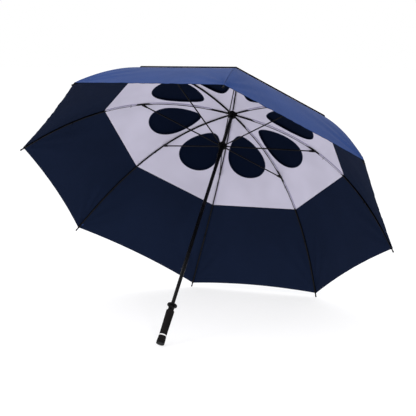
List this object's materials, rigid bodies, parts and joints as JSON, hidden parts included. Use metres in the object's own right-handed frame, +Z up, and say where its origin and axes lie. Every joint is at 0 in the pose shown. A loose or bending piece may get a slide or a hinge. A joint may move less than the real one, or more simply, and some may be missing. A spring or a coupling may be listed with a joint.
{
  "type": "golf umbrella",
  "caption": "Large double-canopy golf umbrella, open, with folding ribs and struts, sliding runner, push button and straight foam grip.",
  "frame": {"origin": "middle of the footprint of the open umbrella, on the floor that its grip end and two rib tips stand on", "axes": "+X across the umbrella, +Y along the shaft's heading from the grip towards the ferrule, +Z up from the floor"},
  "size_m": [1.2994, 0.98, 0.9353],
  "materials": {
    "navy_fabric": "woven pongee, satin",
    "grey_fabric": "woven pongee, matt",
    "black_frame": "satin black",
    "black_plastic": "satin",
    "foam": "matt foam",
    "spring_steel": "bright"
  },
  "bodies": {
    "shaft": {"shaft_tube": "black_frame", "top_notch": "black_plastic", "ferrule": "black_plastic", "crown_cap": "black_plastic", "main_spring": "spring_steel", "latch_rod": "spring_steel", "foam_grip": "foam", "end_cap": "black_plastic", "button_collar": "black_plastic", "button_spring": "spring_steel"},
    "runner": {"runner": "black_plastic"},
    "button": {"push_button": "black_plastic"},
    "inner_rib_1": {"inner_rib_1": "black_frame"},
    "outer_rib_1": {"outer_rib_1": "black_frame"},
    "strut_1": {"strut_1": "black_frame"},
    "inner_canopy_1": {"inner_panel_1": "grey_fabric", "vent_panel_1": "navy_fabric"},
    "outer_canopy_1": {"outer_panel_1": "navy_fabric"},
    "inner_rib_2": {"inner_rib_2": "black_frame"},
    "outer_rib_2": {"outer_rib_2": "black_frame"},
    "strut_2": {"strut_2": "black_frame"},
    "inner_canopy_2": {"inner_panel_2": "grey_fabric", "vent_panel_2": "navy_fabric"},
    "outer_canopy_2": {"outer_panel_2": "navy_fabric"},
    "inner_rib_3": {"inner_rib_3": "black_frame"},
    "outer_rib_3": {"outer_rib_3": "black_frame"},
    "strut_3": {"strut_3": "black_frame"},
    "inner_canopy_3": {"inner_panel_3": "grey_fabric", "vent_panel_3": "navy_fabric"},
    "outer_canopy_3": {"outer_panel_3": "navy_fabric"},
    "inner_rib_4": {"inner_rib_4": "black_frame"},
    "outer_rib_4": {"outer_rib_4": "black_frame"},
    "strut_4": {"strut_4": "black_frame"},
    "inner_canopy_4": {"inner_panel_4": "grey_fabric", "vent_panel_4": "navy_fabric"},
    "outer_canopy_4": {"outer_panel_4": "navy_fabric"},
    "inner_rib_5": {"inner_rib_5": "black_frame"},
    "outer_rib_5": {"outer_rib_5": "black_frame"},
    "strut_5": {"strut_5": "black_frame"},
    "inner_canopy_5": {"inner_panel_5": "grey_fabric", "vent_panel_5": "navy_fabric"},
    "outer_canopy_5": {"outer_panel_5": "navy_fabric"},
    "inner_rib_6": {"inner_rib_6": "black_frame"},
    "outer_rib_6": {"outer_rib_6": "black_frame"},
    "strut_6": {"strut_6": "black_frame"},
    "inner_canopy_6": {"inner_panel_6": "grey_fabric", "vent_panel_6": "navy_fabric"},
    "outer_canopy_6": {"outer_panel_6": "navy_fabric"},
    "inner_rib_7": {"inner_rib_7": "black_frame"},
    "outer_rib_7": {"outer_rib_7": "black_frame"},
    "strut_7": {"strut_7": "black_frame"},
    "inner_canopy_7": {"inner_panel_7": "grey_fabric", "vent_panel_7": "navy_fabric"},
    "outer_canopy_7": {"outer_panel_7": "navy_fabric"},
    "inner_rib_8": {"inner_rib_8": "black_frame"},
    "outer_rib_8": {"outer_rib_8": "black_frame"},
    "strut_8": {"strut_8": "black_frame"},
    "inner_canopy_8": {"inner_panel_8": "grey_fabric", "vent_panel_8": "navy_fabric"},
    "outer_canopy_8": {"outer_panel_8": "navy_fabric"}
  },
  "joints": [
    {"name": "runner_slide", "type": "slide", "parent": "shaft", "child": "runner", "axis": [0, -0.6779, -0.7352], "range_m": [0, 0.52], "stiffness_N_per_m": 25, "springref_m": -0.5, "deforming": ["main_spring", "inner_panel_1", "vent_panel_1", "outer_panel_1", "inner_panel_2", "vent_panel_2", "outer_panel_2", "inner_panel_3", "vent_panel_3", "outer_panel_3", "inner_panel_4", "vent_panel_4", "outer_panel_4", "inner_panel_5", "vent_panel_5", "outer_panel_5", "inner_panel_6", "vent_panel_6", "outer_panel_6", "inner_panel_7", "vent_panel_7", "outer_panel_7", "inner_panel_8", "vent_panel_8", "outer_panel_8"]},
    {"name": "push_button_slide", "type": "slide", "parent": "shaft", "child": "button", "axis": [-0.2588, 0.7101, -0.6548], "range_m": [0, 0.0018], "stiffness_N_per_m": 1500, "springref_m": -0.001, "deforming": ["button_spring"]},
    {"name": "inner_rib_hinge_1", "type": "hinge", "parent": "shaft", "child": "inner_rib_1", "pos_m": [0.01109, 0.2595, 0.72864], "axis": [-0.3827, 0.6792, -0.6263], "range_deg": [0, 74.9]},
    {"name": "outer_rib_hinge_1", "type": "hinge", "parent": "inner_rib_1", "child": "outer_rib_1", "pos_m": [0.31227, 0.30819, 0.59741], "axis": [-0.3827, 0.6792, -0.6263], "range_deg": [-27.8, 0]},
    {"name": "strut_hinge_1", "type": "hinge", "parent": "inner_rib_1", "child": "strut_1", "pos_m": [0.31227, 0.30819, 0.59741], "axis": [-0.3827, 0.6792, -0.6263], "range_deg": [-146.6, 0]},
    {"name": "inner_canopy_hinge_1", "type": "hinge", "parent": "shaft", "child": "inner_canopy_1", "pos_m": [0.00849, 0.26236, 0.726], "axis": [-0.7071, 0.5199, -0.4793], "range_deg": [0, 68]},
    {"name": "outer_canopy_hinge_1", "type": "hinge", "parent": "inner_canopy_1", "child": "outer_canopy_1", "pos_m": [0.3009, 0.38787, 0.43075], "axis": [-0.7071, 0.5199, -0.4793], "range_deg": [-26, 0]},
    {"name": "inner_rib_hinge_2", "type": "hinge", "parent": "shaft", "child": "inner_rib_2", "pos_m": [0.00459, 0.26427, 0.72423], "axis": [-0.9239, 0.2813, -0.2594], "range_deg": [0, 74.9]},
    {"name": "outer_rib_hinge_2", "type": "hinge", "parent": "inner_rib_2", "child": "outer_rib_2", "pos_m": [0.12935, 0.44267, 0.47341], "axis": [-0.9239, 0.2813, -0.2594], "range_deg": [-27.8, 0]},
    {"name": "strut_hinge_2", "type": "hinge", "parent": "inner_rib_2", "child": "strut_2", "pos_m": [0.12935, 0.44267, 0.47341], "axis": [-0.9239, 0.2813, -0.2594], "range_deg": [-146.6, 0]},
    {"name": "inner_canopy_hinge_2", "type": "hinge", "parent": "shaft", "child": "inner_canopy_2", "pos_m": [0, 0.26494, 0.72361], "axis": [-1, 0, 0], "range_deg": [0, 68]},
    {"name": "outer_canopy_hinge_2", "type": "hinge", "parent": "inner_canopy_2", "child": "outer_canopy_2", "pos_m": [0, 0.47951, 0.34626], "axis": [-1, 0, 0], "range_deg": [-26, 0]},
    {"name": "inner_rib_hinge_3", "type": "hinge", "parent": "shaft", "child": "inner_rib_3", "pos_m": [-0.00459, 0.26427, 0.72423], "axis": [-0.9239, -0.2813, 0.2594], "range_deg": [0, 74.9]},
    {"name": "outer_rib_hinge_3", "type": "hinge", "parent": "inner_rib_3", "child": "outer_rib_3", "pos_m": [-0.12935, 0.44267, 0.47341], "axis": [-0.9239, -0.2813, 0.2594], "range_deg": [-27.8, 0]},
    {"name": "strut_hinge_3", "type": "hinge", "parent": "inner_rib_3", "child": "strut_3", "pos_m": [-0.12935, 0.44267, 0.47341], "axis": [-0.9239, -0.2813, 0.2594], "range_deg": [-146.6, 0]},
    {"name": "inner_canopy_hinge_3", "type": "hinge", "parent": "shaft", "child": "inner_canopy_3", "pos_m": [-0.00849, 0.26236, 0.726], "axis": [-0.7071, -0.5199, 0.4793], "range_deg": [0, 68]},
    {"name": "outer_canopy_hinge_3", "type": "hinge", "parent": "inner_canopy_3", "child": "outer_canopy_3", "pos_m": [-0.3009, 0.38787, 0.43075], "axis": [-0.7071, -0.5199, 0.4793], "range_deg": [-26, 0]},
    {"name": "inner_rib_hinge_4", "type": "hinge", "parent": "shaft", "child": "inner_rib_4", "pos_m": [-0.01109, 0.2595, 0.72864], "axis": [-0.3827, -0.6792, 0.6263], "range_deg": [0, 74.9]},
    {"name": "outer_rib_hinge_4", "type": "hinge", "parent": "inner_rib_4", "child": "outer_rib_4", "pos_m": [-0.31227, 0.30819, 0.59741], "axis": [-0.3827, -0.6792, 0.6263], "range_deg": [-27.8, 0]},
    {"name": "strut_hinge_4", "type": "hinge", "parent": "inner_rib_4", "child": "strut_4", "pos_m": [-0.31227, 0.30819, 0.59741], "axis": [-0.3827, -0.6792, 0.6263], "range_deg": [-146.6, 0]},
    {"name": "inner_canopy_hinge_4", "type": "hinge", "parent": "shaft", "child": "inner_canopy_4", "pos_m": [-0.012, 0.25612, 0.73175], "axis": [0, -0.7352, 0.6779], "range_deg": [0, 68]},
    {"name": "outer_canopy_hinge_4", "type": "hinge", "parent": "inner_canopy_4", "child": "outer_canopy_4", "pos_m": [-0.42554, 0.16665, 0.63472], "axis": [0, -0.7352, 0.6779], "range_deg": [-26, 0]},
    {"name": "inner_rib_hinge_5", "type": "hinge", "parent": "shaft", "child": "inner_rib_5", "pos_m": [-0.01109, 0.25274, 0.73486], "axis": [0.3827, -0.6792, 0.6263], "range_deg": [0, 74.9]},
    {"name": "outer_rib_hinge_5", "type": "hinge", "parent": "inner_rib_5", "child": "outer_rib_5", "pos_m": [-0.31227, 0.118, 0.77277], "axis": [0.3827, -0.6792, 0.6263], "range_deg": [-27.8, 0]},
    {"name": "strut_hinge_5", "type": "hinge", "parent": "inner_rib_5", "child": "strut_5", "pos_m": [-0.31227, 0.118, 0.77277], "axis": [0.3827, -0.6792, 0.6263], "range_deg": [-146.6, 0]},
    {"name": "inner_canopy_hinge_5", "type": "hinge", "parent": "shaft", "child": "inner_canopy_5", "pos_m": [-0.00849, 0.24988, 0.7375], "axis": [0.7071, -0.5199, 0.4793], "range_deg": [0, 68]},
    {"name": "outer_canopy_hinge_5", "type": "hinge", "parent": "inner_canopy_5", "child": "outer_canopy_5", "pos_m": [-0.3009, -0.05456, 0.83869], "axis": [0.7071, -0.5199, 0.4793], "range_deg": [-26, 0]},
    {"name": "inner_rib_hinge_6", "type": "hinge", "parent": "shaft", "child": "inner_rib_6", "pos_m": [-0.00459, 0.24797, 0.73926], "axis": [0.9239, -0.2813, 0.2594], "range_deg": [0, 74.9]},
    {"name": "outer_rib_hinge_6", "type": "hinge", "parent": "inner_rib_6", "child": "outer_rib_6", "pos_m": [-0.12935, -0.01648, 0.89676], "axis": [0.9239, -0.2813, 0.2594], "range_deg": [-27.8, 0]},
    {"name": "strut_hinge_6", "type": "hinge", "parent": "inner_rib_6", "child": "strut_6", "pos_m": [-0.12935, -0.01648, 0.89676], "axis": [0.9239, -0.2813, 0.2594], "range_deg": [-146.6, 0]},
    {"name": "inner_canopy_hinge_6", "type": "hinge", "parent": "shaft", "child": "inner_canopy_6", "pos_m": [0, 0.2473, 0.73988], "axis": [1, 0, 0], "range_deg": [0, 68]},
    {"name": "outer_canopy_hinge_6", "type": "hinge", "parent": "inner_canopy_6", "child": "outer_canopy_6", "pos_m": [0, -0.1462, 0.92318], "axis": [1, 0, 0], "range_deg": [-26, 0]},
    {"name": "inner_rib_hinge_7", "type": "hinge", "parent": "shaft", "child": "inner_rib_7", "pos_m": [0.00459, 0.24797, 0.73926], "axis": [0.9239, 0.2813, -0.2594], "range_deg": [0, 74.9]},
    {"name": "outer_rib_hinge_7", "type": "hinge", "parent": "inner_rib_7", "child": "outer_rib_7", "pos_m": [0.12935, -0.01648, 0.89676], "axis": [0.9239, 0.2813, -0.2594], "range_deg": [-27.8, 0]},
    {"name": "strut_hinge_7", "type": "hinge", "parent": "inner_rib_7", "child": "strut_7", "pos_m": [0.12935, -0.01648, 0.89676], "axis": [0.9239, 0.2813, -0.2594], "range_deg": [-146.6, 0]},
    {"name": "inner_canopy_hinge_7", "type": "hinge", "parent": "shaft", "child": "inner_canopy_7", "pos_m": [0.00849, 0.24988, 0.7375], "axis": [0.7071, 0.5199, -0.4793], "range_deg": [0, 68]},
    {"name": "outer_canopy_hinge_7", "type": "hinge", "parent": "inner_canopy_7", "child": "outer_canopy_7", "pos_m": [0.3009, -0.05456, 0.83869], "axis": [0.7071, 0.5199, -0.4793], "range_deg": [-26, 0]},
    {"name": "inner_rib_hinge_8", "type": "hinge", "parent": "shaft", "child": "inner_rib_8", "pos_m": [0.01109, 0.25274, 0.73486], "axis": [0.3827, 0.6792, -0.6263], "range_deg": [0, 74.9]},
    {"name": "outer_rib_hinge_8", "type": "hinge", "parent": "inner_rib_8", "child": "outer_rib_8", "pos_m": [0.31227, 0.118, 0.77277], "axis": [0.3827, 0.6792, -0.6263], "range_deg": [-27.8, 0]},
    {"name": "strut_hinge_8", "type": "hinge", "parent": "inner_rib_8", "child": "strut_8", "pos_m": [0.31227, 0.118, 0.77277], "axis": [0.3827, 0.6792, -0.6263], "range_deg": [-146.6, 0]},
    {"name": "inner_canopy_hinge_8", "type": "hinge", "parent": "shaft", "child": "inner_canopy_8", "pos_m": [0.012, 0.25612, 0.73175], "axis": [0, 0.7352, -0.6779], "range_deg": [0, 68]},
    {"name": "outer_canopy_hinge_8", "type": "hinge", "parent": "inner_canopy_8", "child": "outer_canopy_8", "pos_m": [0.42554, 0.16665, 0.63472], "axis": [0, 0.7352, -0.6779], "range_deg": [-26, 0]}
  ],
  "couplings": [
    {"joint": "inner_rib_hinge_1", "follows": "runner_slide", "rad_per_m": 2.5139},
    {"joint": "outer_rib_hinge_1", "follows": "runner_slide", "rad_per_m": -0.93308},
    {"joint": "strut_hinge_1", "follows": "runner_slide", "rad_per_m": -4.9205},
    {"joint": "inner_canopy_hinge_1", "follows": "runner_slide", "rad_per_m": 2.2824},
    {"joint": "outer_canopy_hinge_1", "follows": "runner_slide", "rad_per_m": -0.87266},
    {"joint": "inner_rib_hinge_2", "follows": "runner_slide", "rad_per_m": 2.5139},
    {"joint": "outer_rib_hinge_2", "follows": "runner_slide", "rad_per_m": -0.93308},
    {"joint": "strut_hinge_2", "follows": "runner_slide", "rad_per_m": -4.9205},
    {"joint": "inner_canopy_hinge_2", "follows": "runner_slide", "rad_per_m": 2.2824},
    {"joint": "outer_canopy_hinge_2", "follows": "runner_slide", "rad_per_m": -0.87266},
    {"joint": "inner_rib_hinge_3", "follows": "runner_slide", "rad_per_m": 2.5139},
    {"joint": "outer_rib_hinge_3", "follows": "runner_slide", "rad_per_m": -0.93308},
    {"joint": "strut_hinge_3", "follows": "runner_slide", "rad_per_m": -4.9205},
    {"joint": "inner_canopy_hinge_3", "follows": "runner_slide", "rad_per_m": 2.2824},
    {"joint": "outer_canopy_hinge_3", "follows": "runner_slide", "rad_per_m": -0.87266},
    {"joint": "inner_rib_hinge_4", "follows": "runner_slide", "rad_per_m": 2.5139},
    {"joint": "outer_rib_hinge_4", "follows": "runner_slide", "rad_per_m": -0.93308},
    {"joint": "strut_hinge_4", "follows": "runner_slide", "rad_per_m": -4.9205},
    {"joint": "inner_canopy_hinge_4", "follows": "runner_slide", "rad_per_m": 2.2824},
    {"joint": "outer_canopy_hinge_4", "follows": "runner_slide", "rad_per_m": -0.87266},
    {"joint": "inner_rib_hinge_5", "follows": "runner_slide", "rad_per_m": 2.5139},
    {"joint": "outer_rib_hinge_5", "follows": "runner_slide", "rad_per_m": -0.93308},
    {"joint": "strut_hinge_5", "follows": "runner_slide", "rad_per_m": -4.9205},
    {"joint": "inner_canopy_hinge_5", "follows": "runner_slide", "rad_per_m": 2.2824},
    {"joint": "outer_canopy_hinge_5", "follows": "runner_slide", "rad_per_m": -0.87266},
    {"joint": "inner_rib_hinge_6", "follows": "runner_slide", "rad_per_m": 2.5139},
    {"joint": "outer_rib_hinge_6", "follows": "runner_slide", "rad_per_m": -0.93308},
    {"joint": "strut_hinge_6", "follows": "runner_slide", "rad_per_m": -4.9205},
    {"joint": "inner_canopy_hinge_6", "follows": "runner_slide", "rad_per_m": 2.2824},
    {"joint": "outer_canopy_hinge_6", "follows": "runner_slide", "rad_per_m": -0.87266},
    {"joint": "inner_rib_hinge_7", "follows": "runner_slide", "rad_per_m": 2.5139},
    {"joint": "outer_rib_hinge_7", "follows": "runner_slide", "rad_per_m": -0.93308},
    {"joint": "strut_hinge_7", "follows": "runner_slide", "rad_per_m": -4.9205},
    {"joint": "inner_canopy_hinge_7", "follows": "runner_slide", "rad_per_m": 2.2824},
    {"joint": "outer_canopy_hinge_7", "follows": "runner_slide", "rad_per_m": -0.87266},
    {"joint": "inner_rib_hinge_8", "follows": "runner_slide", "rad_per_m": 2.5139},
    {"joint": "outer_rib_hinge_8", "follows": "runner_slide", "rad_per_m": -0.93308},
    {"joint": "strut_hinge_8", "follows": "runner_slide", "rad_per_m": -4.9205},
    {"joint": "inner_canopy_hinge_8", "follows": "runner_slide", "rad_per_m": 2.2824},
    {"joint": "outer_canopy_hinge_8", "follows": "runner_slide", "rad_per_m": -0.87266}
  ]
}
